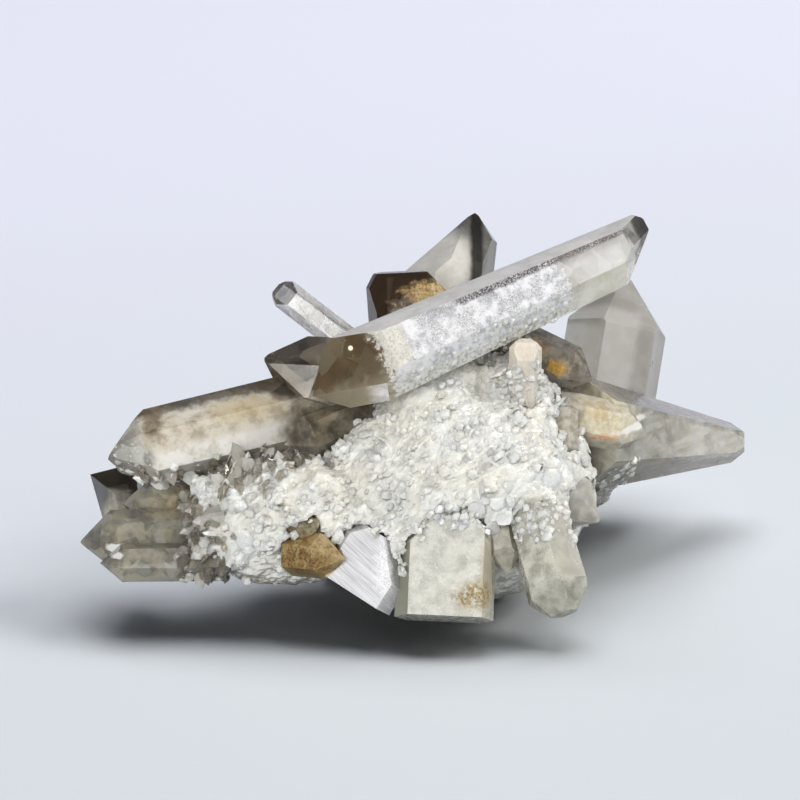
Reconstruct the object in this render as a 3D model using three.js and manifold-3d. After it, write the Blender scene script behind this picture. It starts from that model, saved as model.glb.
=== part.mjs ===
// A smoky quartz cluster: prismatic crystals, one of them pointed at both ends, that grow out of or
// lie on a pale, granular quartz matrix. Millimetres, +Z up, +X to the right, -Y towards the viewer.
import * as THREE from "three";
import { mergeVertices } from "three/addons/utils/BufferGeometryUtils.js";
import Module from "manifold-3d";

const wasm = await Module();
wasm.setup();

// Driving dimensions
const CAP_LEAN = THREE.MathUtils.degToRad(38.2); // between a quartz prism face and the cap face above it
const FACE_COUNT = 6;
const CONTACT_GAP = 0.3; // left round a crystal where the matrix or another crystal grips it
const SMALLEST_PIECE = 0.01; // mm3, of common volume that counts as touching
const DRUSE = {
  seed: 7,
  tries: 2600,
  spacing: 3.7, // between the feet of the small crystals on the matrix
  radii: [0.75, 1.25],
  heights: [1.1, 2.2],
  lean: 0.5, // of an axis, as a share of its length
  coarse: 1.35, // size of the crystals along the left ridge and at the back
  ridge: -6, // the ridge lies left of this X
  back: 12, // the back lies behind this Y
  steepest: -0.35, // rise of the outward direction under which the rock is bare
  lowest: 3, // no crystals grow below this height
};

// Every crystal's axis runs from foot to tip. Face 0 looks to the front (-Y), turned by roll degrees
// about the axis, and the others follow by the right-hand rule. reach is the distance from the axis to
// each prism face. cuts says how far below the tip each cap face crosses the axis, and footCuts does
// the same above the foot of a crystal pointed at both ends. blunt is how much of a worn or broken tip
// is missing, and taper is the lean of the prism faces in degrees.
const evenly = (value) => Array(FACE_COUNT).fill(value);
const SHARP = evenly(0);

// Each entry is one piece: a crystal, or crystals that grew into each other.
const GROWTHS = {
  long_crystal: [
    {
      foot: [-8.3, -5.9, 30.4],
      tip: [31.9, 10.1, 44.2],
      roll: -28,
      reach: evenly(4.4),
      taper: 1.45,
      cuts: [1, 2.4, 2.2, 1, -2, -2.2],
      footCuts: [2.1, 0.1, -4, -6, -4, -3],
    },
  ],
  dark_crystal: [
    {
      foot: [1.7, 12.6, 29.7],
      tip: [0.9, 14.6, 40.9],
      roll: -12,
      reach: [3.6, 4.9, 4.6, 3.4, 4.6, 4.9],
      cuts: [2.5, 0, 0, 0, -3, -2],
      blunt: 2.6,
    },
  ],
  back_crystal: [
    {
      foot: [3.6, 16.6, 15.5],
      tip: [7, 29.7, 43.5],
      roll: 12,
      reach: [5.4, 5.4, 5.2, 5.4, 5.4, 5.2],
      cuts: [1.5, -2.2, -2.2, 0, 4.2, 3.8],
    },
  ],
  slender_crystal: [
    {
      foot: [-2.7, 6.5, 28.6],
      tip: [-16.6, 14.1, 37.4],
      roll: 20,
      reach: evenly(1.65),
      cuts: [2.6, 0.8, 0, 0, 0, 1],
    },
  ],
  left_crystals: [
    {
      foot: [-8, 4, 24.6],
      tip: [-36.3, -5.2, 20.5],
      roll: 8,
      reach: evenly(4.25),
      taper: 0.5,
      cuts: [0.4, 0, 1.4, 0.8, 0, 1],
    },
    {
      foot: [-6.5, 4, 27],
      tip: [-17.2, 0.6, 31.8],
      roll: 10,
      reach: [3.9, 4.2, 4.1, 3.9, 4.2, 4.1],
      cuts: [1.6, 2.2, 0.5, 0, 0.4, 1],
    },
    {
      foot: [2, 4.5, 26.5],
      tip: [-14, -2.6, 21.4],
      roll: 10,
      reach: evenly(2.6),
      cuts: SHARP,
    },
  ],
  lower_left_crystals: [
    {
      foot: [-21, -4.5, 11],
      tip: [-38.6, -8.3, 11],
      roll: 20,
      reach: evenly(3.1),
      cuts: [0.4, 0, 0, 0, 0, 0],
    },
    {
      foot: [-21, -9.6, 9],
      tip: [-35.8, -12.2, 9.8],
      roll: 35,
      reach: evenly(2.05),
      cuts: SHARP,
    },
    {
      foot: [-18, 0, 13],
      tip: [-33.8, -3.4, 14.2],
      roll: 5,
      reach: evenly(3.2),
      taper: 2,
      cuts: SHARP,
    },
    {
      foot: [-32.3, -1.9, 7.6],
      tip: [-35.6, 2.6, 18],
      roll: 28,
      reach: evenly(2.6),
      cuts: [1.4, -2, -2, 1.4, -2, -2],
    },
  ],
  amber_crystals: [
    {
      foot: [-12.9, -11.5, 10.8],
      tip: [-6.4, -15.4, 11.6],
      roll: -15,
      reach: evenly(2.35),
      cuts: [0.4, 0.2, 0, 0, 0.2, 0.6],
    },
    {
      foot: [-14, -9.8, 13],
      tip: [-9.5, -13.4, 15.3],
      roll: 0,
      reach: evenly(1.45),
      cuts: [0.6, 0, 0, 0, 0, 0],
    },
    {
      foot: [-5.9, -13.5, 6.8],
      tip: [0, -10.8, 15.8],
      roll: -20,
      reach: [2.4, 4.8, 4.8, 2.4, 4.1, 4.1],
      cuts: [0, 1.6, 1.6, 0, 0, 0],
      blunt: 3.4,
    },
  ],
  block_crystals: [
    {
      foot: [5.2, -16.3, 4.3],
      tip: [5.9, -7.6, 19.4],
      roll: 0,
      reach: [2.6, 5.1, 5.1, 2.6, 5.1, 5.1],
      cuts: [2.2, 0.6, 0, 0, 0, 2.2],
    },
    {
      foot: [12, -10, 13.4],
      tip: [12.9, -13.2, 8.8],
      roll: 0,
      reach: evenly(1.8),
      cuts: [0.5, 0, 0, 0, 0, 0],
    },
  ],
  blunt_crystal: [
    {
      foot: [16.1, -8.6, 14.7],
      tip: [20, -17.6, 3.6],
      roll: 15,
      reach: evenly(3.45),
      cuts: [1.4, 0, 0, 0, 0, 0.8],
      blunt: 2,
    },
  ],
  right_crystals: [
    {
      foot: [22, 9, 19],
      tip: [45.2, 30.8, 10.3],
      roll: -30,
      reach: evenly(6.5),
      taper: 8,
      cuts: SHARP,
    },
    {
      foot: [19, 4.9, 23],
      tip: [30.6, 6.6, 19.8],
      roll: -20,
      reach: evenly(2.65),
      cuts: [1, 0, 0, 0, 0, 0],
    },
    {
      foot: [20, 2.6, 24],
      tip: [20, -1.6, 18.6],
      roll: 10,
      reach: evenly(1.5),
      cuts: SHARP,
    },
  ],
  pale_back_crystal: [
    {
      foot: [25.2, 27, 8],
      tip: [29.8, 39.6, 31.2],
      roll: 10,
      reach: evenly(5.9),
      cuts: [1, 0, 0, 0, 0, 0.5],
    },
  ],
  stained_crystal: [
    {
      foot: [12.2, 13, 30.7],
      tip: [23.7, 5.5, 27],
      roll: -20,
      reach: evenly(2.6),
      cuts: [0.5, 0, 0, 0, 0, 0],
    },
  ],
  beige_crystal: [
    {
      foot: [15.1, -0.4, 26.4],
      tip: [15.1, -1.2, 35.4],
      roll: 0,
      reach: evenly(1.7),
      cuts: [1, 0, 0, 0, 0, 0],
      blunt: 1.4,
    },
  ],
  side_crystal: [
    {
      foot: [17, 0, 16.5],
      tip: [24.2, -5.2, 12.4],
      roll: 0,
      reach: evenly(3),
      cuts: [0.5, 0, 0, 0, 0, 0],
    },
  ],
  rear_left_crystal: [
    {
      foot: [-4, 14, 13],
      tip: [-20, 29, 12],
      roll: 0,
      reach: evenly(3.6),
      cuts: [0, 0.8, 0, 0, 0.6, 0],
    },
  ],
  rear_crystal: [
    {
      foot: [4, 24, 9.5],
      tip: [-2.2, 42.4, 9.5],
      roll: 10,
      reach: [4, 3.8, 4, 4, 3.8, 4],
      cuts: [0, 1, 0, 0.6, 0, 0],
    },
  ],
};

// The matrix is a few overlapping lumps, cut flat where it stands.
const LUMPS = [
  { centre: [6, 1, 14], radii: [17, 14, 14] },
  { centre: [-13.5, -7, 12.7], radii: [12.5, 6.5, 7.5] },
  { centre: [-11, 1, 12], radii: [10, 8, 8.5] },
  { centre: [2, -8, 11], radii: [13, 6.5, 6.3] },
  { centre: [3, 4, 24], radii: [9, 8, 8.5] },
  { centre: [13, 6, 22], radii: [8, 11, 7.5] },
  { centre: [16, 2, 15], radii: [7.5, 9, 9] },
  { centre: [8, 16, 12], radii: [15, 12, 13] },
  { centre: [19, 25, 10], radii: [10, 9, 7.5] },
  { centre: [3, 10, 3], radii: [13, 10, 6] },
];
const LUMP_DETAIL = 3;
const LUMP_ROUGHNESS = 0.07;

// A three.js geometry as a closed solid.
function solidOf(geometry) {
  const bare = geometry.clone();
  bare.deleteAttribute("normal");
  bare.deleteAttribute("uv");
  const merged = mergeVertices(bare, 1e-4);
  return new wasm.Manifold(
    new wasm.Mesh({
      numProp: 3,
      vertProperties: merged.attributes.position.array,
      triVerts: new Uint32Array(merged.index.array),
    }),
  );
}

// A solid as a three.js geometry.
function geometryOf(solid) {
  const mesh = solid.getMesh();
  const geometry = new THREE.BufferGeometry();
  geometry.setAttribute("position", new THREE.BufferAttribute(mesh.vertProperties, 3));
  geometry.setIndex(new THREE.BufferAttribute(mesh.triVerts, 1));
  return geometry;
}

// Keeps what lies behind the plane whose normal points outwards.
function cutBehind(solid, normal, distance) {
  return solid.trimByPlane(normal.clone().negate().toArray(), -distance);
}

// Places a crystal built along +Z so that it runs from its foot to its tip, with face 0 to the front.
function placement({ foot, tip, roll }) {
  const axis = new THREE.Vector3(...tip).sub(new THREE.Vector3(...foot)).normalize();
  const front = new THREE.Vector3(0, -1, 0).projectOnPlane(axis).normalize();
  front.applyAxisAngle(axis, THREE.MathUtils.degToRad(roll));
  const side = new THREE.Vector3().crossVectors(axis, front);
  return new THREE.Matrix4().makeBasis(front, side, axis).setPosition(...foot);
}

// One crystal with flat faces, grown outwards by extra on every side.
function crystal(shape, extra = 0) {
  const { foot, tip, reach, cuts, footCuts, blunt = 0, taper = 0 } = shape;
  const length = new THREE.Vector3(...tip).distanceTo(new THREE.Vector3(...foot));
  const lean = THREE.MathUtils.degToRad(taper);
  const size = 4 * Math.max(...reach) + 2 * length;
  let solid = solidOf(new THREE.BoxGeometry(size, size, size));
  for (let face = 0; face < FACE_COUNT; face++) {
    const angle = (face * 2 * Math.PI) / FACE_COUNT;
    const out = new THREE.Vector3(Math.cos(angle), Math.sin(angle), 0);
    const tilted = (rise) => out.clone().multiplyScalar(Math.cos(rise)).setZ(Math.sin(rise));
    solid = cutBehind(solid, tilted(lean), reach[face] * Math.cos(lean) + extra);
    solid = cutBehind(solid, tilted(CAP_LEAN), Math.sin(CAP_LEAN) * (length - cuts[face]) + extra);
    if (footCuts)
      solid = cutBehind(solid, tilted(-CAP_LEAN), -Math.sin(CAP_LEAN) * footCuts[face] + extra);
  }
  if (blunt) solid = cutBehind(solid, new THREE.Vector3(0, 0, 1), length - blunt + extra);
  if (!footCuts) solid = cutBehind(solid, new THREE.Vector3(0, 0, -1), extra);
  return solid.transform(placement(shape).elements);
}

// Smooth unevenness between -1 and 1: broad swells and, over them, finer ones.
function unevenness({ x, y, z }) {
  const swells =
    Math.sin(0.55 * x + 1.3 * Math.sin(0.31 * y + 1)) +
    Math.sin(0.62 * y + 1.1 * Math.sin(0.37 * z + 2)) +
    Math.sin(0.71 * z + 1.2 * Math.sin(0.43 * x));
  const ripples = Math.sin(1.9 * x + 0.7) * Math.sin(1.7 * y) + Math.sin(1.8 * z + 2.1 * y);
  return (swells + 0.6 * ripples) / 4.2;
}

// A rounded, uneven lump of rock.
function lump({ centre, radii }) {
  const geometry = new THREE.IcosahedronGeometry(1, LUMP_DETAIL).scale(...radii);
  const position = geometry.attributes.position;
  const middle = new THREE.Vector3(...centre);
  const point = new THREE.Vector3();
  for (let i = 0; i < position.count; i++) {
    point.fromBufferAttribute(position, i);
    point.multiplyScalar(1 + LUMP_ROUGHNESS * unevenness(point.clone().add(middle))).add(middle);
    position.setXYZ(i, point.x, point.y, point.z);
  }
  return solidOf(geometry);
}

// A repeatable stream of numbers between 0 and 1.
function numbersFrom(seed) {
  let state = seed;
  return () => {
    state = (state * 1664525 + 1013904223) % 4294967296;
    return state / 4294967296;
  };
}

// Points spread over a solid's surface, each with its outward direction.
function surfacePoints(solid, tries, spacing, next) {
  const { vertProperties, triVerts } = solid.getMesh();
  const corner = (i) => new THREE.Vector3().fromArray(vertProperties, 3 * triVerts[i]);
  const faces = [];
  let total = 0;
  for (let i = 0; i < triVerts.length; i += 3) {
    const triangle = new THREE.Triangle(corner(i), corner(i + 1), corner(i + 2));
    total += triangle.getArea();
    faces.push({ triangle, upTo: total });
  }
  const found = [];
  for (let i = 0; i < tries; i++) {
    const pick = next() * total;
    const { triangle } = faces.find((face) => face.upTo >= pick);
    let [s, t] = [next(), next()];
    if (s + t > 1) [s, t] = [1 - s, 1 - t];
    const point = triangle.a
      .clone()
      .addScaledVector(triangle.b.clone().sub(triangle.a), s)
      .addScaledVector(triangle.c.clone().sub(triangle.a), t);
    if (found.every((other) => other.point.distanceTo(point) > spacing))
      found.push({ point, out: triangle.getNormal(new THREE.Vector3()) });
  }
  return found;
}

// Small crystals that cover the matrix.
function druse(rock) {
  const next = numbersFrom(DRUSE.seed);
  const between = (low, high) => low + (high - low) * next();
  const lean = () => between(-DRUSE.lean, DRUSE.lean);
  return surfacePoints(rock, DRUSE.tries, DRUSE.spacing, next)
    .filter(({ point, out }) => out.z > DRUSE.steepest && point.z > DRUSE.lowest)
    .map(({ point, out }) => {
      const coarse = point.x < DRUSE.ridge || point.y > DRUSE.back ? DRUSE.coarse : 1;
      const radius = coarse * between(...DRUSE.radii);
      const height = coarse * between(...DRUSE.heights);
      const axis = out.clone().add(new THREE.Vector3(lean(), lean(), lean())).normalize();
      return crystal({
        foot: point.clone().addScaledVector(axis, -1.2 * radius).toArray(),
        tip: point.clone().addScaledVector(axis, height).toArray(),
        roll: between(0, 60),
        reach: evenly(radius),
        cuts: SHARP.map(() => between(0, 0.4)),
      });
    });
}

const joined = (solids) => wasm.Manifold.union(solids);

// The biggest piece of a solid that cutting has parted.
function biggest(solid) {
  const pieces = solid.decompose();
  return pieces.reduce((best, piece) => (piece.volume() > best.volume() ? piece : best));
}

// Every growth as a solid. Where two would touch, the one listed first keeps its shape.
function growAll() {
  const solids = new Map();
  const grips = [];
  for (const [name, shapes] of Object.entries(GROWTHS)) {
    let solid = joined(shapes.map((shape) => crystal(shape)));
    for (const grip of grips)
      if (solid.intersect(grip).volume() > SMALLEST_PIECE) solid = biggest(solid.subtract(grip));
    grips.push(joined(shapes.map((shape) => crystal(shape, CONTACT_GAP))));
    solids.set(name, solid);
  }
  return { solids, grips };
}

function matrix(grips) {
  const rock = joined(LUMPS.map(lump));
  const covered = joined([rock, ...druse(rock)]);
  const standing = cutBehind(covered, new THREE.Vector3(0, 0, -1), 0);
  return biggest(standing.subtract(joined(grips)));
}

const FINISHES = {
  smoky: { color: "#8d857b", roughness: 0.15 },
  dark: { color: "#3a2c22", roughness: 0.12 },
  amber: { color: "#a8803a", roughness: 0.35 },
  milky: { color: "#cfcdc0", roughness: 0.4 },
  crust: { color: "#c9c8bf", roughness: 0.8 },
};
const FINISH_OF = {
  matrix: "crust",
  dark_crystal: "dark",
  amber_crystals: "amber",
  block_crystals: "milky",
  blunt_crystal: "milky",
  beige_crystal: "milky",
};

// A named mesh whose own axes are those of the given place.
function piece(name, solid, place) {
  const finish = FINISHES[FINISH_OF[name] ?? "smoky"];
  const material = new THREE.MeshStandardMaterial({ ...finish, metalness: 0, flatShading: true });
  const mesh = new THREE.Mesh(geometryOf(solid.transform(place.clone().invert().elements)), material);
  mesh.name = name;
  mesh.applyMatrix4(place);
  return mesh;
}

function cluster() {
  const { solids, grips } = growAll();
  const group = new THREE.Group();
  for (const [name, solid] of solids) group.add(piece(name, solid, placement(GROWTHS[name][0])));
  group.add(piece("matrix", matrix(grips), new THREE.Matrix4()));

  // The origin is the middle of the bounding box, at the height that the cluster stands on.
  const middle = new THREE.Box3().setFromObject(group, true).getCenter(new THREE.Vector3());
  group.position.set(-middle.x, -middle.y, 0);
  return group;
}

export default cluster();
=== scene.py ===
"""Looks of a smoky quartz cluster: clear and milky crystals on a pale drusy crust."""
import math
import random

import bmesh
import bpy
import numpy as np
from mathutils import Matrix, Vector, noise
from mathutils.bvhtree import BVHTree


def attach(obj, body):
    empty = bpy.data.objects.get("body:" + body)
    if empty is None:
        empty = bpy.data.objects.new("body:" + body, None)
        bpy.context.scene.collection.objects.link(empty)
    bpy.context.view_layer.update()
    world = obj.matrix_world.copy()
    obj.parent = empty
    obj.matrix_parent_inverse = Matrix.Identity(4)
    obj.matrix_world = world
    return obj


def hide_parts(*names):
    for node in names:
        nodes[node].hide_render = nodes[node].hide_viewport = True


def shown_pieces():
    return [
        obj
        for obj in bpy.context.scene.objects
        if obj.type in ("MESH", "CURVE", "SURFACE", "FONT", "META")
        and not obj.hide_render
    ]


MM = 0.001
SEED = 11

# Camera, in metres: it looks along +Y from a little above
TARGET = Vector((-0.00338, -0.01165, 0.0263))
DISTANCE = 0.42
ELEVATION = math.radians(18)
LENS = 155.9
SENSOR = 36
CLIP = (0.01, 20)
GAMMA = 0.85

# Crystal axes, foot and tip in millimetres, and the distance from axis to faces
LONG = ((-11.7, -17.5, 30.4), (28.5, -1.5, 44.2), 4.4)
DARK = ((-1.7, 1, 29.7), (-2.5, 3, 40.9), 4)
BACK = ((0.2, 5, 15.5), (3.6, 18, 43.5), 5)
SLENDER = ((-6.1, -5.2, 28.6), (-20, 2.5, 37.4), 1.65)
LEFT = ((-11.4, -7.6, 24.6), (-39.7, -16.8, 20.5), 4.25)
LOWER_LEFT = ((-24.4, -16.2, 11), (-42, -20, 11), 3)
RIGHT = ((18.6, -2.6, 19), (41.8, 19.2, 10.3), 6.5)
SMALL_BROWN = ((16.6, -9.05, 24), (16.6, -13.25, 18.6), 1.5)
PALE_BACK = ((21.8, 15.4, 8), (26.4, 28, 31.2), 5.9)
STAINED = ((8.8, 1.4, 30.7), (20.3, -6.2, 27), 2.6)
SIDE = ((13.6, -11.7, 16.5), (20.8, -16.9, 12.4), 3)
REAR_LEFT = ((-7.4, 2.3, 13), (-23.4, 17.3, 12), 3.6)
REAR = ((0.6, 12.3, 9.5), (-5.6, 30.7, 9.5), 4)
AMBER = ((-16.3, -23.15, 10.8), (-9.8, -27.05, 11.6), 2.35)
SMALL_AMBER = ((-17.4, -21.45, 13.0), (-12.9, -25.05, 15.3), 1.45)
STRIATED = ((-9.3, -25.15, 6.8), (-3.4, -22.45, 15.8), 4.0)
BLOCK = ((1.8, -28, 4.3), (2.5, -19.3, 19.4))
BLOCK_SMALL = ((8.6, -21.65, 13.4), (9.5, -24.85, 8.8), 1.8)
BLUNT = ((12.7, -20.3, 14.7), (16.6, -29.3, 3.6))
BEIGE = ((11.7, -12, 26.4), (11.7, -12.9, 35.4))

# Directions across crystals
LEFT_UP = (-0.129, -0.042, 0.991)  # up across the left crystal
LONG_UP = (-0.443, 0.438, 0.782)  # up along the long crystal's front face
SIDE_UP = (-0.096, -0.50, 0.86)  # up along its drusy lower side
UNDER = Vector((0.48, -0.78, -0.40))  # out of that side
STRIPES = (0.66, 0.19, 0.72)  # the striated crystal's growth lines run square to this
X, Z = (1, 0, 0), (0, 0, 1)

# Quartz
QUARTZ_IOR = 1.544
CAP_SPREAD = 0.92  # widening of a cap from its tip, at the edges between its faces
EDGE_ROUND = 0.09  # width of the round on a crystal's edges, in millimetres
EDGE_ANGLE = math.radians(20)
SMOKE = (0.60, 0.52, 0.36)
CLEAR = (0.96, 0.95, 0.94)
CREAM = (0.84, 0.80, 0.70)
THICKNESS = (0.20, 0.17, 0.13)  # tint where light goes a long way through
GLOW = {"Subsurface_Weight": 0.35, "Subsurface_Radius": (0.0022, 0.0020, 0.0015), "Subsurface_Scale": 1.0}

# The crust's relief, in millimetres
VOXEL = 0.45
FINE_GRAIN, FINE_HEIGHT = 1.3, 0.35
BROAD_GRAIN, BROAD_HEIGHT = 3.6, 0.5
LEVEL_FOOT = 2.5  # up to this Z the relief fades in, so the flat spot stays flat

# Grains stand clear of crystals nearer than NEAR by the room they need, in millimetres
NEAR = 3
TOUCH = 0.05
GRAIN_ROOM, LUMP_ROOM = 0.7, 1.4
FRONT = -20  # in front of this Y the crust holds grains further round to its underside
STEEPEST_FRONT, STEEPEST, STEEPEST_LUMP = -0.85, -0.45, -0.3  # least upward share of a face that holds them

# Where the druse along the left ridge is clear, in millimetres, and how far that reaches
GLASSY = [
    ((-21.8, -19, 20.5), 4.4),
    ((-26.7, -22, 13.4), 3.6),
    ((-17, -17.5, 22.5), 3.4),
    ((-30, -22, 10), 2.8),
]
SMOOTH_RIGHT, SMOOTH_TOP = 6, 20  # right of this X and under this Z the crust is smoother
SMOOTH_FOOT = 9  # and under this Z too
SMOOTH, GRAINY = 0.95, 0.06  # shares of rounded lumps there and elsewhere

# How far the crust laps over the crystals, in millimetres
LAPPED = 16  # above this Z grains may stand in the block
LAP_HEIGHT, LAP_SWING = 14.6, 1.8  # how far down the block the crust laps, and how uneven that edge is
LAP_GRAIN = 1.6  # how long its waves are
LAP_FRONT = -18  # only in front of this Y
BEIGE_FOOT = 31.5  # the crust hides the beige crystal below this Z
STAINED_FOOT = 12.5  # and the stained crystal left of this X
UNDER_LEFT = (-37.5, -19)  # druse hangs from the left crystal between these X
UNDER_RIGHT = (19, 25)  # and from the right one between about these
LOWER_LEFT_FOOT = -29.5  # the crust covers the lower left crystals right of about this X
BLUNT_FOOT = 13  # and the blunt crystal above this Z
DRUSY_PART = (9, 31)  # along the long crystal's axis its underside is drusy
DRUSY_SHARE = 0.7

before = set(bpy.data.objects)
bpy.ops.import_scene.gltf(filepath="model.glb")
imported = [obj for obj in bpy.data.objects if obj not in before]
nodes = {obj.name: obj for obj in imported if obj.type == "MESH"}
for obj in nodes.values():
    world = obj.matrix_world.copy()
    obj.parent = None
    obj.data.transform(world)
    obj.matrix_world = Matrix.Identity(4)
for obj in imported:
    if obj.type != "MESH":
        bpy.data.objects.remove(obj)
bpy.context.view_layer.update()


class Shader:
    """A material's node tree, with short ways to add what a mineral's patterns need."""

    def __init__(self, name):
        self.material = bpy.data.materials.new(name)
        self.material.use_nodes = True
        self.tree = self.material.node_tree
        self.tree.nodes.clear()
        self.output = self.add("ShaderNodeOutputMaterial")
        self.place = self.add("ShaderNodeTexCoord").outputs["Object"]

    def add(self, kind, **settings):
        node = self.tree.nodes.new(kind)
        for key, value in settings.items():
            setattr(node, key, value)
        return node

    def put(self, socket, value):
        if isinstance(value, bpy.types.NodeSocket):
            self.tree.links.new(value, socket)
        else:
            socket.default_value = value

    def math(self, operation, a, b=0.0):
        node = self.add("ShaderNodeMath", operation=operation)
        self.put(node.inputs[0], a)
        self.put(node.inputs[1], b)
        return node.outputs[0]

    def vector(self, operation, a, b=(0, 0, 0)):
        node = self.add("ShaderNodeVectorMath", operation=operation)
        self.put(node.inputs[0], a)
        self.put(node.inputs[1], b)
        return node.outputs["Value" if operation in ("DOT_PRODUCT", "LENGTH") else "Vector"]

    def noise(self, grain, detail=2.0, rough=0.5, place=None):
        """Soft noise from 0 to 1, with lumps about as large as grain in millimetres."""
        node = self.add("ShaderNodeTexNoise")
        self.put(node.inputs["Vector"], place or self.place)
        node.inputs["Scale"].default_value = 1 / (grain * MM)
        node.inputs["Detail"].default_value = detail
        node.inputs["Roughness"].default_value = rough
        return node.outputs["Fac"]

    def ramp(self, value, low, high, start=0.0, end=1.0):
        """Goes smoothly from start to end as value goes from low to high."""
        node = self.add("ShaderNodeMapRange", interpolation_type="SMOOTHSTEP")
        self.put(node.inputs["Value"], value)
        for name, number in (("From Min", low), ("From Max", high), ("To Min", start), ("To Max", end)):
            self.put(node.inputs[name], number)
        return node.outputs[0]

    @staticmethod
    def rgba(colour):
        return colour if isinstance(colour, bpy.types.NodeSocket) else (*colour, 1)

    def mix(self, share, a, b):
        """Mixes two colours. A Mix node's sockets 6, 7 and 2 are its two colours and the result."""
        node = self.add("ShaderNodeMix", data_type="RGBA")
        self.put(node.inputs[0], share)
        self.put(node.inputs[6], self.rgba(a))
        self.put(node.inputs[7], self.rgba(b))
        return node.outputs[2]

    def between(self, share, a, b):
        """Mixes two numbers."""
        node = self.add("ShaderNodeMix", data_type="FLOAT")
        for socket, value in zip(node.inputs[:1] + node.inputs[2:4], (share, a, b)):
            self.put(socket, value)
        return node.outputs[0]

    def seen_from(self, point):
        """The place, counted from a point given in millimetres."""
        return self.vector("SUBTRACT", self.place, tuple(c * MM for c in point))

    def blob(self, centre, radii, soft=0.4, wobble=0.35, grain=2.5):
        """1 inside an ellipsoid given in millimetres, 0 outside, with an uneven edge."""
        radii = radii if hasattr(radii, "__len__") else (radii,) * 3
        scaled = self.vector("DIVIDE", self.seen_from(centre), tuple(r * MM for r in radii))
        far = self.vector("LENGTH", scaled)
        uneven = self.math("MULTIPLY", self.math("SUBTRACT", self.noise(grain, 3), 0.5), wobble * 2)
        return self.ramp(self.math("ADD", far, uneven), 1 - soft / 2, 1 + soft / 2, 1.0, 0.0)

    def along(self, foot, tip):
        """Distance along an axis from its foot, in metres."""
        axis = (Vector(tip) - Vector(foot)).normalized()
        return self.vector("DOT_PRODUCT", self.seen_from(foot), tuple(axis))

    def both(self, *masks):
        """The product of masks."""
        product = masks[0]
        for mask in masks[1:]:
            product = self.math("MULTIPLY", product, mask)
        return product

    def uneven(self, value, swing, grain, detail=4):
        """A length in metres with soft noise of up to swing millimetres added."""
        swell = self.math("SUBTRACT", self.noise(grain, detail, 0.65), 0.5)
        return self.math("ADD", value, self.math("MULTIPLY", swell, 2 * swing * MM))

    def band(self, value, start, end, soft=1.0):
        """1 where a length in metres lies from start to end, both in millimetres."""
        rise = self.ramp(value, (start - soft / 2) * MM, (start + soft / 2) * MM)
        return self.both(rise, self.ramp(value, (end - soft / 2) * MM, (end + soft / 2) * MM, 1.0, 0.0))

    def rod(self, axis, start, end, inner, outer, swing=0.0, grain=1.5, pointed=False):
        """1 near an axis from start to end: full inside the share inner of its reach, none past outer.
        Pointed, it narrows to the tip as a crystal's cap does."""
        foot, tip, reach = axis
        t = self.along(foot, tip)
        moved = self.seen_from(foot)
        whole = self.vector("DOT_PRODUCT", moved, moved)
        square = self.math("SUBTRACT", whole, self.math("MULTIPLY", t, t))
        far = self.math("SQRT", self.math("MAXIMUM", square, 0.0))
        if swing:
            far = self.uneven(far, swing, grain)
            t = self.uneven(t, 2 * swing, grain)
        near = self.ramp(far, inner * reach * MM, outer * reach * MM, 1.0, 0.0)
        if pointed:
            length = (Vector(tip) - Vector(foot)).length * MM
            cap = self.math("MULTIPLY", self.math("SUBTRACT", length, t), CAP_SPREAD)
            past = self.math("SUBTRACT", far, cap)
            near = self.both(near, self.ramp(past, 0.05 * MM, 0.2 * MM, 1.0, 0.0))
        return self.both(near, self.band(t, start, end, 1.5 if swing else 0.2))

    def speckle(self, grain, share, soft=0.08, rough=0.75):
        """Fine grains that cover about that share of a face."""
        level = 0.5 + (0.5 - share) * 0.35
        return self.ramp(self.noise(grain, 4, rough), level - soft / 2, level + soft / 2)

    def painted_reflections(self, grain, low=0.25, high=0.75):
        """Flat-sided areas, each from 0 to 1: painted light and shade that stand for reflections from a
        crystal's inner faces.
        """
        node = self.add("ShaderNodeTexVoronoi")
        self.put(node.inputs["Vector"], self.place)
        node.inputs["Scale"].default_value = 1 / (grain * MM)
        return self.ramp(self.vector("DOT_PRODUCT", node.outputs["Color"], X), low, high)

    def lines(self, foot, tip, grain=0.25, stretch=9.0):
        """Fine growth lines that run across a crystal's axis."""
        axis = (Vector(tip) - Vector(foot)).normalized()
        side = axis.cross(Z).normalized()
        third = axis.cross(side)
        parts = [self.vector("DOT_PRODUCT", self.place, tuple(d * k)) for d, k in
                 ((axis, 1.0), (side, 1 / stretch), (third, 1 / stretch))]
        joined = self.add("ShaderNodeCombineXYZ")
        for socket, part in zip(joined.inputs, parts):
            self.put(socket, part)
        return self.noise(grain, 3, 0.6, joined.outputs[0])

    def bump(self, height, depth, strength=1.0):
        """Relief of that depth in millimetres where height goes from 0 to 1."""
        node = self.add("ShaderNodeBump")
        node.inputs["Strength"].default_value = strength
        node.inputs["Distance"].default_value = depth * MM
        self.put(node.inputs["Height"], height)
        return node.outputs["Normal"]

    def facing(self, direction, low=0.90, high=0.97):
        """1 on faces whose normal is near a direction."""
        normal = self.add("ShaderNodeNewGeometry").outputs["Normal"]
        nearness = self.vector("DOT_PRODUCT", normal, tuple(Vector(direction).normalized()))
        return self.ramp(nearness, low, high)

    def each(self):
        """A number from 0 to 1 that differs from grain to grain."""
        return self.add("ShaderNodeNewGeometry").outputs["Random Per Island"]

    def edge_on(self, low=0.45, high=0.9):
        """0 on faces seen straight on, 1 on those seen edge on, through which light goes a longer way."""
        node = self.add("ShaderNodeLayerWeight")
        node.inputs["Blend"].default_value = 0.5
        return self.ramp(node.outputs["Facing"], low, high)

    def layers(self, colour, clear, rough, patches):
        """Colour, clearness and roughness, each patch laid over what came before."""
        for mask, patch_colour, patch_clear, patch_rough in patches:
            colour = self.mix(mask, colour, patch_colour)
            clear = self.between(mask, clear, patch_clear)
            rough = self.between(mask, rough, patch_rough)
        return colour, clear, rough

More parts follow.
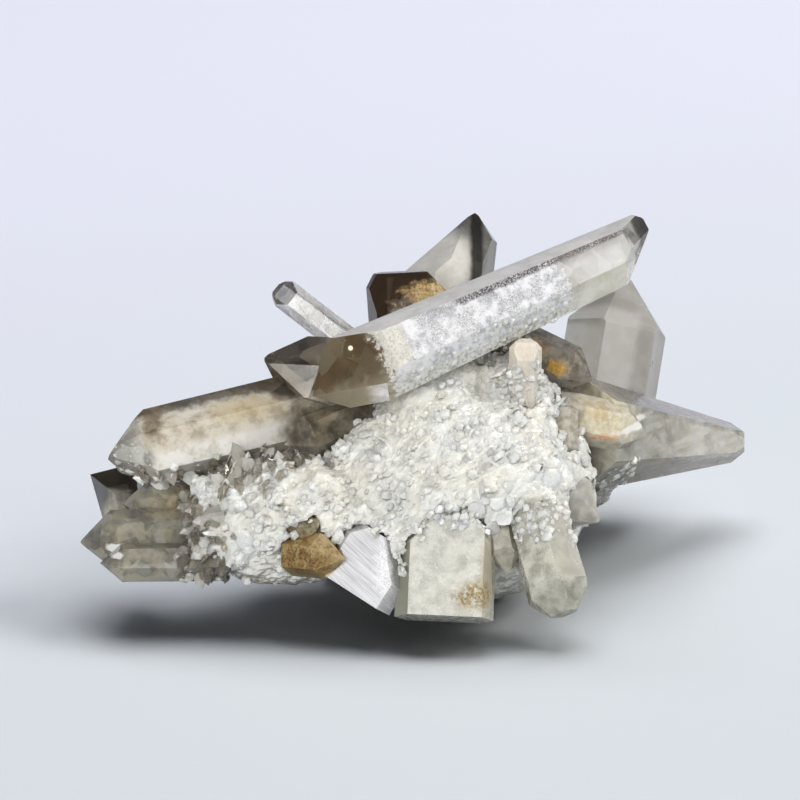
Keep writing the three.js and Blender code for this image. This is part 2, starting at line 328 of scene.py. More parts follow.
    def surface(self, colour, clear, rough, normal=None, **fixed):
        """One Principled surface. Clear is the share of light that goes through."""
        node = self.add("ShaderNodeBsdfPrincipled")
        self.put(node.inputs["Base Color"], self.rgba(colour))
        self.put(node.inputs["Transmission Weight"], clear)
        self.put(node.inputs["Roughness"], rough)
        node.inputs["IOR"].default_value = QUARTZ_IOR
        for key, value in fixed.items():
            node.inputs[key.replace("_", " ")].default_value = value
        if normal is not None:
            self.put(node.inputs["Normal"], normal)
        self.tree.links.new(node.outputs[0], self.output.inputs["Surface"])

    def smoke(self, colour, density):
        """Light is taken up on its way through, more of the colours that colour lacks."""
        node = self.add("ShaderNodeVolumeAbsorption")
        node.inputs["Color"].default_value = (*colour, 1)
        node.inputs["Density"].default_value = density
        self.tree.links.new(node.outputs[0], self.output.inputs["Volume"])


def dimmed(colour, share):
    return tuple(c * share for c in colour)


def quartz(name, axis, density, tint=CLEAR, rough=0.035, patches=lambda s: [], relief=0.02, edges=0.55,
           inner=0.5):
    """Clear quartz with growth lines, slightly uneven gloss, painted reflections from inner faces and the
    crystal's own patches.
    """
    s = Shader(name)
    streaks = s.lines(*axis[:2])
    base = s.mix(s.ramp(s.noise(3.0, 3), 0.35, 0.7), tint, dimmed(tint, 0.93))
    gloss = s.ramp(s.noise(1.2, 4, 0.6), 0.4, 0.8, rough, rough * 3)
    # painted inner reflections: flat-sided areas darker and less clear, as far as inner allows
    base = s.mix(s.both(s.painted_reflections(1.9, 0.5, 0.9), inner), base, dimmed(tint, 0.45))
    through = s.between(s.both(s.painted_reflections(2.6), inner), 1.0, 0.5)
    colour, clear, dull = s.layers(base, through, gloss, patches(s))
    colour = s.mix(s.both(s.edge_on(), edges), colour, THICKNESS)
    pits = s.math("MULTIPLY", s.noise(0.4, 4, 0.7), 0.4)
    height = s.math("ADD", s.math("MULTIPLY", streaks, 0.6), pits)
    s.surface(colour, clear, dull, s.bump(height, relief, 0.5), **GLOW)
    s.smoke(SMOKE, density)
    return s.material


def haze(s, axis, start, end, strength=0.8, wide=1.13, grain=1.6):
    """A cloud in the middle of a crystal, thick and thin by place, that leaves its edges clear."""
    cloud = s.rod(axis, start, end, wide - 0.16, wide, 0.5, grain)
    return s.both(cloud, s.ramp(s.noise(grain * 1.3, 4, 0.65), 0.3, 0.6, strength * 0.45, strength))


def shades(s, grain, dark, light, low=0.35, high=0.65):
    """Two colours that pass into each other in lumps as large as grain."""
    return s.mix(s.ramp(s.noise(grain, 4, 0.65), low, high), dark, light)


def long_patches(s):
    """Frost over the long crystal's body, its smoky left end and the specks under its upper edge, with a
    painted highlight on its lower strip, painted light on its top faces and painted dark refraction in its
    window facet.
    """
    foot, tip, _ = LONG
    t = s.along(foot, tip)
    edge = s.uneven(t, 2.0, 1.0)
    up = s.along(foot, Vector(foot) + Vector(LONG_UP))
    side_up = s.along(foot, Vector(foot) + Vector(SIDE_UP))
    window = s.facing((-0.44, -0.87, 0.24), 0.93, 0.98)
    front = s.math("MAXIMUM", s.facing((0.16, -0.82, 0.55)), window)
    below = s.facing(UNDER)
    top = s.facing((-0.29, -0.02, 0.96))
    strip = s.facing((-0.19, -0.84, -0.51))
    body = s.band(edge, 6.5, 31, 1.2)
    margin = s.band(edge, 6.2, 9.6, 1.6)
    over = s.both(below, body, s.ramp(s.uneven(side_up, 1.6, 1.6), -1.2 * MM, 1.0 * MM))
    silver = shades(s, 1.3, (0.58, 0.59, 0.62), (0.93, 0.93, 0.95), 0.34, 0.56)
    cream = shades(s, 0.25, (0.46, 0.43, 0.36), (0.76, 0.73, 0.66), 0.3, 0.6)
    crust = shades(s, 0.5, (0.42, 0.41, 0.36), (0.84, 0.84, 0.80), 0.34, 0.58)
    grey_area = s.ramp(s.noise(2.0, 3, 0.6), 0.42, 0.60, 0.12, 1.0)
    upper = s.both(front, s.band(s.uneven(up, 0.25, 1.0), 1.35, 2.25, 0.5), s.band(t, 17, 43, 3))
    right_body = s.band(edge, 31, 43, 3)
    dark_tip = s.both(s.band(t, 42.2, 47, 0.8), s.facing((0.9, -0.2, 0.1), 0.6, 0.85))
    wavy_up = s.uneven(up, 1.0, 2.0)
    smoky = s.mix(s.ramp(wavy_up, -2.6 * MM, 0.4 * MM), (0.88, 0.82, 0.66), (0.38, 0.29, 0.18))
    # painted inner reflections in the smoky end
    smoky = s.mix(s.painted_reflections(2.4), smoky, (0.52, 0.45, 0.33))
    # painted highlight: silvery light along the lower strip, just past the smoky end
    painted_glint = s.both(strip, s.ramp(s.uneven(t, 1.0, 1.5), 3.0 * MM, 5.0 * MM))
    smoky_end = s.band(edge, -6, 6.5, 1.0)
    low_part = s.ramp(wavy_up, -1.0 * MM, -3.0 * MM)
    bright = shades(s, 2.4, (0.88, 0.86, 0.82), (0.98, 0.97, 0.95))
    dull = shades(s, 2.0, (0.76, 0.72, 0.58), (0.92, 0.90, 0.80))
    return [
        (smoky_end, smoky, 0.75, 0.04),
        # dark in the window facet: painted refraction of dark surroundings over the crystal's smoky brown
        (s.both(window, s.band(edge, 3.6, 6.7, 1.4), 0.7), (0.13, 0.09, 0.05), 0.5, 0.06),
        (s.both(smoky_end, low_part, 0.6), (0.42, 0.38, 0.29), 0.3, 0.1),
        (s.both(window, s.blob((-9.3, -16.2, 34.3), 0.31, 0.4, 0.15, 0.5)), (0.95, 0.90, 0.76), 0.0, 0.5),
        (s.both(strip, s.band(t, -6, 4.5, 1.5), 0.8), (0.40, 0.35, 0.26), 0.35, 0.12),
        # painted highlight on the lower strip
        (s.both(painted_glint, 0.85), shades(s, 1.2, (0.62, 0.62, 0.64), (0.92, 0.91, 0.94)), 0.2, 0.2),
        # painted light: the top faces lighter where light falls on them
        (s.both(top, 0.95), shades(s, 2.5, (0.80, 0.79, 0.76), (0.96, 0.95, 0.93)), 0.25, 0.15),
        (s.both(below, body), crust, 0.15, 0.5),
        (s.math("MAXIMUM", s.both(front, body), over), silver, 0.2, 0.34),
        (s.both(front, body, s.speckle(0.15, 0.5, 0.2), grey_area, 0.85), (0.30, 0.30, 0.33), 0.3, 0.3),
        (s.both(front, body, s.speckle(0.11, 0.22, 0.1), 0.9), (0.98, 0.98, 0.99), 0.0, 0.2),
        (s.both(front, margin, 0.8), cream, 0.1, 0.5),
        (s.both(front, right_body, 0.65), bright, 0.45, 0.08),
        (s.both(below, right_body, 0.8), dull, 0.35, 0.25),
        (s.both(upper, s.speckle(0.22, 0.6, 0.2), 0.9), (0.17, 0.15, 0.17), 0.5, 0.25),
        (dark_tip, (0.12, 0.10, 0.09), 0.9, 0.06),
    ]


def dark_patches(s):
    """Dark brown, with gold grains over a pale patch where it leaves the long crystal, and a painted pale
    sheen on its top faces.
    """
    gold = s.blob((0.2, -0.4, 36.5), (3.3, 3, 1.25), 0.7, 0.7, 0.9)
    pale = s.blob((0.6, -1.2, 34.4), (4.6, 4, 1.9), 0.7, 0.6, 1.2)
    # painted sheen: top faces pale grey where they catch light
    painted_top_sheen = s.facing((0, 0.2, 1))
    flakes = s.mix(s.speckle(0.25, 0.5, 0.25), (0.72, 0.60, 0.36), (0.38, 0.26, 0.11))
    rusty = s.both(gold, s.ramp(s.noise(1.4, 3), 0.52, 0.64))
    return [
        (0.75, shades(s, 2.5, (0.024, 0.012, 0.005), (0.062, 0.034, 0.016)), 0.6, 0.05),
        (s.both(pale, 0.9), shades(s, 0.7, (0.26, 0.21, 0.15), (0.62, 0.57, 0.48)), 0.2, 0.4),
        (s.both(gold, s.speckle(0.5, 0.85, 0.3)), flakes, 0.05, 0.4),
        (s.both(rusty, s.speckle(0.3, 0.5, 0.2), 0.8), (0.36, 0.14, 0.035), 0.05, 0.4),
        (painted_top_sheen, (0.58, 0.55, 0.52), 0.4, 0.2),
    ]


def back_patches(s):
    """Light inside, with smoky grey borders and one dark band down its right side."""
    light = s.blob((0.4, 10.5, 37.0), (6.2, 9, 5.0), 0.6, 0.2, 3)
    band = s.band(s.uneven(s.along((0, 0, 0), X), 0.3, 2), 5.6, 7.2, 0.7)
    right = s.facing((0.96, -0.28, 0.01), 0.80, 0.94)
    return [
        (0.7, shades(s, 2.5, (0.16, 0.145, 0.12), (0.40, 0.38, 0.33)), 0.6, 0.06),
        (s.both(light, 0.95), shades(s, 3.0, (0.80, 0.78, 0.73), (0.95, 0.93, 0.89)), 0.3, 0.15),
        (s.both(right, 0.85), shades(s, 1.5, (0.14, 0.13, 0.11), (0.34, 0.32, 0.28)), 0.5, 0.1),
        (s.both(band, 0.85), (0.05, 0.045, 0.04), 0.6, 0.06),
    ]


def slender_patches(s):
    """A thin cloud inside and a smoky end."""
    end = s.facing((-0.59, -0.41, 0.69))
    cloud = haze(s, SLENDER, -2, 13, 0.9, 1.12, 1.0)
    return [
        (cloud, shades(s, 1.0, (0.56, 0.54, 0.50), (0.88, 0.87, 0.85)), 0.35, 0.2),
        (s.both(end, 0.7), (0.22, 0.20, 0.19), 0.7, 0.08),
    ]


def left_patches(s):
    """The cloudy body of the left crystal, its clear end with painted yellow highlights, and the smokier
    crystals behind it, darkened further by painted shade under the long crystal.
    """
    t = s.uneven(s.along(*LEFT[:2]), 2.0, 1.8)
    height = s.uneven(s.along(LEFT[0], Vector(LEFT[0]) + Vector(LEFT_UP)), 0.5, 1.6)
    cloudy = s.both(s.band(t, 2, 25, 4), s.band(height, -6.5, 4.1, 0.8))
    upper = s.band(height, 0.8, 3.9, 1.6)
    ridge_line = s.both(s.band(t, -4, 34, 2), s.band(height, 4.1, 7, 0.6))
    stub = s.blob((-15.5, -10, 30.2), (6.5, 5, 4.2), 0.3, 0.2)
    # painted shade under the long crystal, over the smoky brown there
    gap = s.blob((-9.5, -13, 23), (8, 6, 4.4), 0.5, 0.35)
    yellow = s.blob((-22, -15.5, 26.8), (4.2, 4, 2.0), 1.0, 0.5, 1.4)
    clear_end = s.band(t, 21, 34, 3)
    # painted inner reflections in the clear end
    clear_tones = s.mix(s.painted_reflections(1.9), (0.34, 0.31, 0.23), (0.92, 0.90, 0.82))
    corner = s.blob((-33.1, -16.5, 25.6), (1.2, 4, 2.6), 0.9, 0.5, 1.2)
    cream = shades(s, 1.8, (0.68, 0.63, 0.53), (0.93, 0.91, 0.86), 0.30, 0.55)
    tan = shades(s, 1.6, (0.44, 0.36, 0.24), (0.78, 0.72, 0.60), 0.36, 0.60)
    return [
        (s.both(clear_end, 0.55), clear_tones, 0.45, 0.05),
        (s.both(s.blob((-33.3, -19, 21.2), 0.9, 0.8, 0.4, 1.0), 0.8), (0.10, 0.09, 0.07), 0.6, 0.1),
        (s.both(cloudy, 0.85), cream, 0.15, 0.3),
        (s.both(cloudy, upper, 0.7), tan, 0.3, 0.2),
        (s.both(yellow, cloudy, 0.5), (0.60, 0.48, 0.27), 0.2, 0.3),
        (s.both(ridge_line, 0.8), shades(s, 2.0, (0.13, 0.10, 0.07), (0.42, 0.37, 0.29)), 0.7, 0.05),
        (s.both(corner, 0.7), shades(s, 0.8, (0.16, 0.11, 0.06), (0.40, 0.32, 0.20)), 0.5, 0.06),
        # painted highlights: pale yellow specks of light on the clear end
        (s.both(s.band(t, 25, 36, 1.5), s.speckle(0.5, 0.14, 0.1), 0.8), (0.97, 0.94, 0.76), 0.2, 0.1),
        # the stub crystal: smoky brown with painted inner reflections
        (s.both(stub, 0.8), s.mix(s.painted_reflections(2.6), (0.06, 0.045, 0.03), (0.34, 0.28, 0.20)), 0.65, 0.08),
        # painted shade under the long crystal
        (s.both(gap, 0.9), shades(s, 2.4, (0.06, 0.045, 0.022), (0.34, 0.29, 0.20)), 0.4, 0.15),
    ]


def lower_left_patches(s):
    """Cloudy grey and straw yellow, with an upright smoky crystal at the far end, a painted highlight on a
    small facet and a painted reflection on the upright crystal's front left facet.
    """
    cloud = s.ramp(s.noise(1.8, 4, 0.7), 0.33, 0.58, 0.3, 0.85)
    yellow = s.blob((-29, -16.5, 14.6), (4.0, 4.5, 1.8), 1.0, 0.6, 1.5)
    brown = s.blob((-26.5, -16, 16), (3.2, 4, 1.4), 0.9, 0.5, 1.5)
    height = s.along((0, 0, 0), Z)
    behind = s.ramp(s.along((0, -12.4, 0), (0, -11.4, 0)), -1.0 * MM, 0.0)
    upright = s.both(behind, s.band(height, 11.5, 30, 1))
    # painted highlight: a small white facet near the far end
    bright = s.blob((-37.2, -22.4, 11.0), (1.5, 3, 0.55), 0.3, 0.5, 0.8)
    return [
        # painted inner reflections in the grey cloud
        (s.both(cloud, 0.85), s.mix(s.painted_reflections(1.5), (0.19, 0.17, 0.11), (0.60, 0.57, 0.46)), 0.5, 0.06),
        (s.ramp(s.noise(2.4, 3), 0.42, 0.62, 0.0, 0.7), (0.50, 0.47, 0.35), 0.35, 0.2),
        (s.both(yellow, 0.7), shades(s, 1.5, (0.30, 0.23, 0.10), (0.66, 0.58, 0.36)), 0.4, 0.12),
        (s.both(brown, 0.7), (0.22, 0.16, 0.08), 0.5, 0.2),
        # painted highlight
        (s.both(bright, 0.8), (0.94, 0.94, 0.94), 0.1, 0.3),
        (s.both(upright, 0.9), (0.07, 0.055, 0.04), 0.7, 0.1),
        # painted reflection: the upright crystal's front left facet lighter and bluish grey
        (s.both(upright, s.facing((-0.6, -0.78, 0.15), 0.85, 0.95), 0.8), (0.34, 0.36, 0.40), 0.5, 0.2),
    ]


def amber_patches(s):
    """The amber crystal and its small neighbour. The striated one beside them stays silvery white, with
    painted sparkle near its right margin.
    """
    big = s.rod(AMBER, -3, 9, 1.17, 1.20, pointed=True)
    small = s.rod(SMALL_AMBER, -3, 9, 1.2, 1.24, pointed=True)
    stripes = s.ramp(s.lines((0, 0, 0), STRIPES, 0.11, 40), 0.34, 0.64)
    rim = s.facing((0.83, -0.43, 0.35))
    flecks = s.speckle(0.35, 0.4, 0.1)
    heart = s.blob((-14.2, -25.0, 11.2), (3.9, 3.5, 2.3), 0.7, 0.5, 1.2)
    # painted sparkle: white specks of light on the striated crystal
    painted_sparkle = s.blob((-4.2, -26, 9.4), (2.2, 4, 4.4), 0.7, 0.5, 0.8)
    body = s.mix(heart, (0.47, 0.38, 0.21), shades(s, 1.0, (0.27, 0.16, 0.05), (0.46, 0.36, 0.17)))
    return [
        (1.0, s.mix(stripes, (0.48, 0.48, 0.50), (0.71, 0.71, 0.73)), 0.1, 0.42),
        (s.both(painted_sparkle, s.speckle(0.2, 0.5, 0.3), 0.8), (0.94, 0.94, 0.95), 0.1, 0.3),
        (s.both(rim, 0.9), shades(s, 0.3, (0.58, 0.58, 0.56), (0.86, 0.86, 0.85)), 0.15, 0.4),
        (small, shades(s, 0.7, (0.24, 0.20, 0.11), (0.56, 0.52, 0.38)), 0.35, 0.2),
        (s.both(small, s.speckle(0.5, 0.35, 0.15), 0.7), (0.22, 0.14, 0.05), 0.2, 0.3),
        (big, body, 0.18, 0.3),
        (s.both(big, heart, flecks, 0.8), (0.12, 0.055, 0.02), 0.15, 0.35),
    ]


def right_patches(s):
    """Warm grey haze with a straw-yellow patch where the honey crystal leaves the matrix, and a painted
    highlight along a prism edge.
    """
    cloud = s.ramp(s.noise(2.6, 4, 0.65), 0.33, 0.6, 0.4, 0.85)
    yellow = s.blob((22.6, -6.8, 23.0), (5.6, 5.0, 3.6), 1.0, 0.6, 1.4)
    orange = s.blob((20.5, -8.2, 23.8), (2.0, 3.0, 1.4), 0.9, 0.6, 1.0)
    small = s.rod(SMALL_BROWN, -3, 8, 1.25, 1.3)
    # painted highlight along the prism edge
    bright = s.blob((26.0, -5.0, 20.9), (3.4, 5.0, 0.5), 0.8, 0.5, 1.4)
    rosy = s.blob((21.5, -8.7, 20.5), (2.0, 1.6, 0.5), 0.8, 0.5, 1.0)
    streaks = s.ramp(s.lines((0, 0, 0), (0.25, -0.05, 1), 0.9, 7), 0.36, 0.62)
    return [
        (cloud, s.mix(streaks, (0.56, 0.53, 0.44), (0.80, 0.77, 0.69)), 0.45, 0.12),
        (s.both(yellow, 0.85), shades(s, 1.0, (0.62, 0.54, 0.35), (0.86, 0.82, 0.68)), 0.15, 0.3),
        (s.both(orange, 0.25), (0.62, 0.42, 0.18), 0.2, 0.3),
        # painted highlight
        (s.both(bright, 0.85), (0.95, 0.94, 0.91), 0.15, 0.3),
        (s.both(rosy, 0.7), (0.78, 0.46, 0.28), 0.2, 0.3),
        (s.both(small, 0.85), shades(s, 1.0, (0.46, 0.41, 0.33), (0.74, 0.70, 0.62)), 0.25, 0.2),
    ]


def stained_patches(s):
    """Smoky brown with an orange star on its end and rust where it meets the long crystal."""
    orange = s.blob((15.8, -6.6, 28.7), (1.3, 2.0, 0.9), 1.0, 1.1, 0.6)
    rust = s.blob((12.6, -4.6, 30.8), (2.2, 2.6, 1.2), 0.8, 0.6, 1.0)
    cloud = s.ramp(s.noise(2.0, 4, 0.6), 0.35, 0.6, 0.5, 0.95)
    return [
        (cloud, shades(s, 1.4, (0.16, 0.13, 0.08), (0.50, 0.45, 0.36)), 0.5, 0.14),
        (s.both(rust, 0.75), shades(s, 0.6, (0.36, 0.20, 0.08), (0.66, 0.48, 0.28)), 0.2, 0.4),
        (s.both(orange, 0.9), shades(s, 0.4, (0.46, 0.24, 0.03), (0.74, 0.48, 0.10)), 0.15, 0.3),
    ]


def pale_patches(s):
    """Pale haze, clearer and lighter towards its left side."""
    left = s.ramp(s.uneven(s.along((0, 0, 0), X), 2.0, 4), 23.5 * MM, 28.5 * MM, 1.0, 0.0)
    cloud = s.ramp(s.noise(5, 3), 0.3, 0.7, 0.75, 0.95)
    return [
        (cloud, shades(s, 4.0, (0.66, 0.64, 0.61), (0.84, 0.82, 0.80)), 0.45, 0.35),
        (s.both(left, 0.9), shades(s, 4.0, (0.86, 0.83, 0.78), (0.96, 0.94, 0.91)), 0.72, 0.3),
    ]


def side_patches(s):
    """A grey-beige cloud."""
    cloud = s.ramp(s.noise(2, 3), 0.3, 0.7, 0.6, 0.9)
    return [(cloud, shades(s, 1.5, (0.60, 0.57, 0.50), (0.80, 0.78, 0.71)), 0.25, 0.3)]


def milky(name, axis, colour, patches=lambda s: [], clear=0.25):
    """Cloudy quartz: light scatters just under the skin."""
    s = Shader(name)
    tone = s.ramp(s.noise(2.4, 4, 0.6), 0.3, 0.7)
    base = s.mix(tone, dimmed(colour, 0.93), colour)
    grey = s.speckle(0.9, 0.12, 0.12)
    base = s.mix(s.both(grey, 0.2), base, dimmed(colour, 0.6))
    thick = s.ramp(s.noise(1.5, 3), 0.35, 0.7, clear * 0.5, clear * 1.4)
    gloss = s.ramp(s.noise(0.8, 4, 0.7), 0.35, 0.75, 0.2, 0.45)
    base, thick, gloss = s.layers(base, thick, gloss, patches(s))
    relief = s.math("ADD", s.math("MULTIPLY", s.lines(*axis), 0.5), s.noise(0.5, 4, 0.7))
    s.surface(base, thick, gloss, s.bump(relief, 0.06, 0.5), **GLOW)
    return s.material


def block_patches(s):
    """A rusty, grainy stain low on the block, its greenish left margin and its yellowish right one."""
    stain = s.blob((5.6, -29, 7.6), (2.6, 3, 1.6), 0.9, 0.7, 1.0)
    left = s.facing((-0.85, -0.43, 0.29), 0.88, 0.96)
    rim = s.blob((7.2, -28.0, 10), (1.1, 4, 5), 0.9, 0.5, 1.2)
    little = s.rod(BLOCK_SMALL, -3, 9, 1.25, 1.3)
    rusty = shades(s, 0.3, (0.22, 0.15, 0.05), (0.48, 0.40, 0.24))
    return [
        (s.both(left, 0.8), (0.40, 0.40, 0.32), 0.4, 0.3),
        (s.both(rim, 0.6), (0.52, 0.46, 0.31), 0.3, 0.35),
        (s.both(stain, s.speckle(0.5, 0.65, 0.15)), rusty, 0.08, 0.45),
        (s.both(little, 0.7), shades(s, 1.0, (0.36, 0.33, 0.25), (0.62, 0.59, 0.49)), 0.4, 0.2),
    ]


def blunt_patches(s):
    """A duller right side with a dark hollow of painted shade, and a clearer end."""
    # painted shade of a hollow
    hollow = s.blob((17.6, -25.4, 12.4), (1.3, 3, 2.6), 0.8, 0.4, 1.2)
    side = s.facing((0.52, -0.56, 0.64))
    end = s.blob((16.5, -28, 5.6), (5, 5, 3.4), 0.8, 0.4)
    return [
        (s.both(side, 0.9), shades(s, 1.8, (0.36, 0.35, 0.29), (0.48, 0.47, 0.40)), 0.15, 0.55),
        (s.both(hollow, 0.8), (0.27, 0.25, 0.19), 0.5, 0.2),
        (s.both(end, 0.7), shades(s, 1.0, (0.30, 0.29, 0.23), (0.66, 0.65, 0.58)), 0.45, 0.15),
    ]


def rear_patches(axis, end):
    """A cream cloud inside a crystal on the far side, up to that distance from its foot."""
    return lambda s: [(haze(s, axis, 4, end), CREAM, 0.25, 0.3)]


def wear(name, material):
    """Gives a CAD crystal its material and a hairline round on its edges."""
    crystal = nodes[name]
    crystal.data.materials.clear()
    crystal.data.materials.append(material)
    edge = crystal.modifiers.new("worn edges", "BEVEL")
    edge.width = EDGE_ROUND * MM
    edge.segments = 1
    edge.limit_method = "ANGLE"
    edge.angle_limit = EDGE_ANGLE
    edge.harden_normals = False


CLEAR_CRYSTALS = {
    "long_crystal": dict(axis=LONG, density=45, patches=long_patches, relief=0.05, edges=0.1),
    "dark_crystal": dict(axis=DARK, density=150, tint=(0.50, 0.38, 0.29), patches=dark_patches, inner=0.0),
    "back_crystal": dict(axis=BACK, density=75, patches=back_patches),
    "slender_crystal": dict(axis=SLENDER, density=70, patches=slender_patches),
    "left_crystals": dict(axis=LEFT, density=60, patches=left_patches, relief=0.05),
    "lower_left_crystals": dict(axis=LOWER_LEFT, density=70, patches=lower_left_patches),
    "right_crystals": dict(axis=RIGHT, density=50, patches=right_patches),
    "pale_back_crystal": dict(axis=PALE_BACK, density=30, patches=pale_patches),
    "stained_crystal": dict(axis=STAINED, density=90, patches=stained_patches),
    "side_crystal": dict(axis=SIDE, density=40, patches=side_patches),
    "rear_left_crystal": dict(axis=REAR_LEFT, density=75, patches=rear_patches(REAR_LEFT, 16)),
    "rear_crystal": dict(axis=REAR, density=75, patches=rear_patches(REAR, 13)),
    "amber_crystals": dict(axis=STRIATED, density=60, patches=amber_patches, relief=0.08),
}
MILKY_CRYSTALS = {
    "block_crystals": dict(axis=BLOCK, colour=(0.66, 0.655, 0.60), patches=block_patches),
    "blunt_crystal": dict(axis=BLUNT, colour=(0.71, 0.70, 0.62), patches=blunt_patches, clear=0.4),
    "beige_crystal": dict(axis=BEIGE, colour=(0.70, 0.65, 0.57), clear=0.05),
}
for name, look in CLEAR_CRYSTALS.items():
    wear(name, quartz(name.replace("_", " "), **look))
for name, look in MILKY_CRYSTALS.items():
    wear(name, milky(name.replace("_", " "), **look))


def mesh_object(name, points, faces, material):
    """A piece of the object from its own points, in metres, and faces."""
    mesh = bpy.data.meshes.new(name)
    mesh.from_pydata(points, [], faces)
    mesh.update()
    mesh.materials.append(material)
    piece = bpy.data.objects.new(name, mesh)
    bpy.context.scene.collection.objects.link(piece)
    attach(piece, "root")
    return piece


def tree_of(obj):
    """What finds the nearest place on a CAD node's surface."""
    mesh = obj.data
    return BVHTree.FromPolygons([v.co for v in mesh.vertices], [p.vertices for p in mesh.polygons])


crystal_trees = {n: tree_of(o) for n, o in nodes.items() if n != "matrix"}


def crust_material():
    """Pale drusy quartz: cream to grey by place, with each grain a little different, painted shade in its
    pits and painted shade on faces that look down.
    """
    s = Shader("drusy crust")
    each = s.each()
    tone = s.mix(each, (0.74, 0.745, 0.715), (0.83, 0.835, 0.80))
    broad = s.ramp(s.noise(6.0, 4, 0.6), 0.35, 0.65)
    colour = s.mix(s.both(broad, 0.5), tone, (0.75, 0.71, 0.62))
    # painted shade in small pits between grains
    pits = s.ramp(s.noise(0.9, 4, 0.75), 0.58, 0.72, 0.0, 0.5)
    colour = s.mix(pits, colour, (0.50, 0.47, 0.40))
    dark = s.blob((-29.5, -22, 10.5), (1.6, 4, 2.6), 0.8, 0.5, 1.2)
    colour = s.mix(s.both(dark, 0.8), colour, (0.26, 0.24, 0.20))
    # painted shade on faces that look down
    colour = s.mix(s.both(s.facing((0, 0, -1), 0.25, 0.7), 0.8), colour, (0.40, 0.38, 0.34))
    clear = s.ramp(each, 0.4, 1.0, 0.05, 0.25)
    gloss = s.ramp(s.noise(0.6, 3), 0.3, 0.7, 0.2, 0.45)
    s.surface(colour, clear, gloss, s.bump(s.noise(0.22, 4, 0.7), 0.05, 0.6), **GLOW)
    return s.material


def frost_material():
    """Silvery grains that coat the underside of the long crystal."""
    s = Shader("frost")
    each = s.each()
    colour = s.mix(each, (0.66, 0.65, 0.61), (0.88, 0.88, 0.86))
    dark = s.ramp(s.noise(1.6, 4, 0.7), 0.52, 0.66, 0.0, 0.45)
    s.surface(s.mix(dark, colour, (0.36, 0.35, 0.32)), s.ramp(each, 0.3, 1.0, 0.1, 0.4), 0.3,
              s.bump(s.noise(0.3, 3), 0.03, 0.4), **GLOW)
    return s.material


def glassy_material():
    """The clear little crystals along the left ridge."""
    s = Shader("glassy druse")
    each = s.each()
    colour = s.mix(each, (0.96, 0.96, 0.94), (0.70, 0.64, 0.54))
    s.surface(colour, s.ramp(each, 0.0, 0.6, 0.25, 0.85), 0.06, s.bump(s.noise(0.6, 3), 0.03, 0.4))
    s.smoke(SMOKE, 60)
    return s.material


crust_look = crust_material()

# The crust: the matrix solid, finely divided and roughened
crust_mesh = nodes["matrix"].data.copy()
crust = bpy.data.objects.new("crust", crust_mesh)
bpy.context.scene.collection.objects.link(crust)
crust_mesh.materials.clear()
crust_mesh.materials.append(crust_look)
divide = crust.modifiers.new("fine", "REMESH")
divide.mode = "VOXEL"
divide.voxel_size = VOXEL * MM
bpy.context.view_layer.update()
fine = crust.evaluated_get(bpy.context.evaluated_depsgraph_get())
crust.data = bpy.data.meshes.new_from_object(fine)
crust.modifiers.clear()
crust.data.materials.clear()
crust.data.materials.append(crust_look)
count = len(crust.data.vertices)
places = np.empty(count * 3, np.float32)
normals = np.empty(count * 3, np.float32)
crust.data.vertices.foreach_get("co", places)
crust.data.vertex_normals.foreach_get("vector", normals)
places, normals = places.reshape(-1, 3), normals.reshape(-1, 3)
fine_push = np.array([noise.fractal(Vector(p) / (FINE_GRAIN * MM), 0.8, 2.2, 3) for p in places])
broad_push = np.array([noise.noise(Vector(p) / (BROAD_GRAIN * MM)) for p in places])
push = FINE_HEIGHT * fine_push + BROAD_HEIGHT * broad_push
lift = np.clip(places[:, 2] / (LEVEL_FOOT * MM), 0, 1)
places += normals * (push * MM * lift)[:, None]
crust.data.vertices.foreach_set("co", places.ravel())
crust.data.update()
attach(crust, "root")
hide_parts("matrix")


def scatter(tries, spacing, keep, seed, node="matrix"):
    """Places and normals spread over a solid, at least spacing millimetres apart."""
    mesh = nodes[node].data
    mesh.calc_loop_triangles()
    corners = np.array([t.vertices[:] for t in mesh.loop_triangles])
    points = np.array([v.co[:] for v in mesh.vertices])
    a, b, c = (points[corners[:, i]] for i in range(3))
    cross = np.cross(b - a, c - a)
    size = np.linalg.norm(cross, axis=1)
    random_source = np.random.default_rng(seed)
    chosen = random_source.choice(len(corners), tries, p=size / size.sum())
    u, v = random_source.random(tries), random_source.random(tries)
    over = u + v > 1
    u[over], v[over] = 1 - u[over], 1 - v[over]
    spots = a[chosen] + (b - a)[chosen] * u[:, None] + (c - a)[chosen] * v[:, None]
    facing = cross[chosen] / size[chosen][:, None]
    taken, found = {}, []
    reach = spacing * MM
    for spot, normal in zip(spots, facing):
        if not keep(spot, normal):
            continue
        cell = tuple(int(x // reach) for x in spot)
        near = [taken.get((cell[0] + i, cell[1] + j, cell[2] + k), ())
                for i in (-1, 0, 1) for j in (-1, 0, 1) for k in (-1, 0, 1)]
        if any(np.sum((spot - other) ** 2) < reach ** 2 for group in near for other in group):
            continue
        taken.setdefault(cell, []).append(spot)
        found.append((spot, normal))
    return found


def free_of_crystals(spot, normal, room):
    """True where a grain wouldn't stand in a crystal."""
    place, out = Vector(spot), Vector(normal)
    head = place + out * room
    for name, tree in crystal_trees.items():
        if name == "block_crystals" and place.z > LAPPED * MM:
            continue
        near, face, _, gap = tree.find_nearest(place)
        past = head - near
        if gap < NEAR * MM and past.length < NEAR * MM and past.dot(face) < TOUCH * MM:
            return False
    return True


